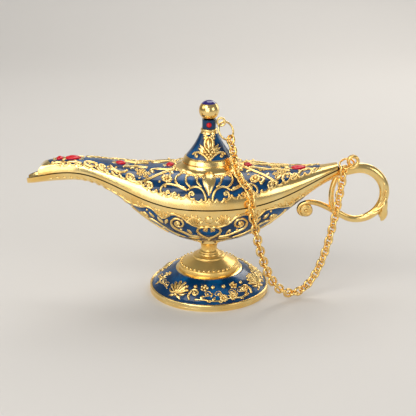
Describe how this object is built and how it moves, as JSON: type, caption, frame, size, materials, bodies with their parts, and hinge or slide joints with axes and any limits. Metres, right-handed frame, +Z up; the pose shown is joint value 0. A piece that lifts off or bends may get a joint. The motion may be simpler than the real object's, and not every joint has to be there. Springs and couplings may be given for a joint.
{
  "type": "ornamental oil lamp",
  "caption": "Boat-shaped footed oil lamp with an open spout, loop handle and a lift-off enamelled cover tethered by a chain.",
  "frame": {"origin": "centre of the foot's underside, at the surface it stands on", "axes": "+Z up, +X from spout to handle, -Y towards the side with the chain"},
  "size_m": [0.165, 0.0556, 0.0903],
  "materials": {
    "gilt_metal": "polished",
    "blue_enamel": "gloss",
    "red_stone": "gloss",
    "violet_stone": "gloss"
  },
  "bodies": {
    "lamp": {"foot": "blue_enamel", "foot_dome": "gilt_metal", "stem": "gilt_metal", "stem_screw": "gilt_metal", "bowl": "blue_enamel", "handle_loop": "gilt_metal", "handle_scroll": "gilt_metal", "handle_strut": "gilt_metal", "handle_leaf": "gilt_metal", "handle_eyelet": "gilt_metal", "handle_ring": "gilt_metal", "hanging_links": "gilt_metal"},
    "lid": {"cover": "blue_enamel", "collar": "gilt_metal", "cone": "blue_enamel", "neck_band": "gilt_metal", "neck": "blue_enamel", "finial_ball": "gilt_metal", "finial_cabochon": "violet_stone", "neck_stone": "red_stone", "finial_eyelet": "gilt_metal", "finial_ring": "gilt_metal", "spout_stone_large": "red_stone", "spout_stone_small": "red_stone", "shoulder_stone_spout": "red_stone", "collar_stone_spout": "red_stone", "collar_stone_heel": "red_stone", "heel_stone_large": "red_stone", "draped_links": "gilt_metal"}
  },
  "joints": [
    {"name": "lid_lift", "type": "slide", "parent": "lamp", "child": "lid", "axis": [0, 0, 1], "range_m": [0, 0.015], "deforming": ["hanging_links"]}
  ]
}
